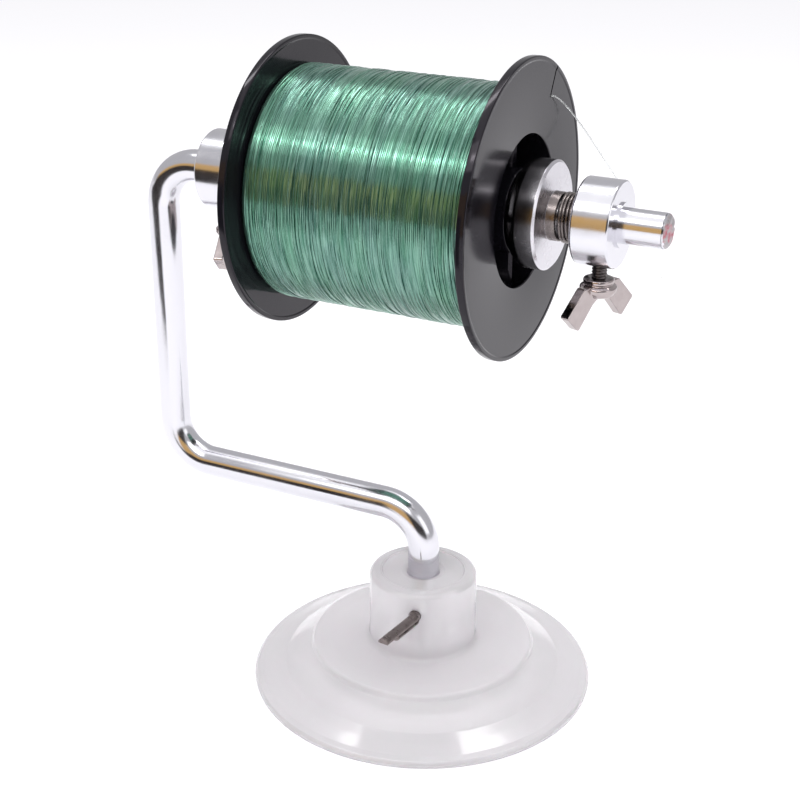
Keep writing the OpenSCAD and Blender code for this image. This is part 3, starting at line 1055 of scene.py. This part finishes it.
# ---- Studio ---------------------------------------------------------------------------------------
def glow_material(name, colour, strength, surface=(0, 0, 0)):
    f = Finish(name, Base_Color=(*surface, 1), Roughness=0.9, Specular_IOR_Level=0.0)
    f.shader.inputs["Emission Color"].default_value = (*colour, 1)
    f.shader.inputs["Emission Strength"].default_value = strength
    return f.material


CARD_Y = -0.62


def add_stage():
    """A pale floor, and cards that only show in reflections: a dark room and its warm wall."""
    reach = 60.0
    corners = [(-reach, -reach, 0), (reach, -reach, 0), (reach, reach, 0), (-reach, reach, 0)]
    floor = add_mesh("floor", corners, [(0, 1, 2, 3)])
    floor.location.z = -0.02 * MM
    floor.data.materials.append(glow_material("pale_floor", (1.0, 0.995, 1.0), 0.16, (0.92, 0.915, 0.93)))
    wall, dark, warm = CARD_Y, (0.04, 0.035, 0.035), (0.73, 0.46, 0.18)
    for name, x0, (near_x1, x1), y0, z0, z1, colour in (
        ("dark_table_card", -2, (-0.06, -0.2), -0.22, 0.002, 0.004, dark),
        ("dark_room_card", -2, (-0.2, -0.2), wall, 0.004, 0.2, dark),
        ("warm_wall_card", -2, (-0.2, -0.2), wall, 0.2, 0.38, warm),
        ("warm_right_card", -0.2, (0.16, 0.16), wall, 0.05, 0.4, warm),
        ("dark_right_card", 0.16, (1.4, 1.4), wall, 0.004, 0.46, dark),
    ):
        corners = [(x0, y0, z0), (near_x1, y0, z0), (x1, wall, z1), (x0, wall, z1)]
        card = add_mesh(name, corners, [(0, 1, 2, 3)])
        card.data.materials.append(glow_material(name, colour, 1.0))
        card.visible_camera = False
        card.visible_shadow = False
        card.visible_diffuse = False
        card.visible_transmission = False


def add_light(name, size, power, where, aim, colour=(1, 1, 1)):
    data = bpy.data.lights.new(name, "AREA")
    data.shape = "RECTANGLE"
    data.size, data.size_y = size
    data.energy = power
    data.color = colour
    light = bpy.data.objects.new(name, data)
    scene.collection.objects.link(light)
    direction = Vector(aim) - Vector(where)
    light.matrix_world = Matrix.Translation(where) @ direction.to_track_quat("-Z", "Y").to_matrix().to_4x4()
    light.visible_camera = False


def add_lights():
    aim = (0, 0, 0.09)
    add_light("front_softbox", (0.9, 0.3), 1.7, (0.0, -0.5, 0.72), aim)
    add_light("softbox_core", (0.6, 0.05), 1.0, (0.0, -0.5, 0.7), aim)
    add_light("overhead_strip", (1.0, 0.1), 2.2, (-0.1, 0.2, 0.85), aim)
    add_light("side_fill", (0.4, 0.5), 0.6, (0.75, -0.1, 0.4), aim)
    sun = bpy.data.lights.new("soft_sun", "SUN")
    sun.energy = 0.7
    sun.angle = math.radians(70)
    soft_sun = bpy.data.objects.new("soft_sun", sun)
    scene.collection.objects.link(soft_sun)
    world = bpy.data.worlds.new("studio")
    scene.world = world
    world.use_nodes = True
    backdrop = world.node_tree.nodes["Background"]
    backdrop.inputs["Color"].default_value = (0.93, 0.925, 0.95, 1)
    backdrop.inputs["Strength"].default_value = 0.62
    scene.view_settings.view_transform = "Standard"


add_stage()
add_lights()
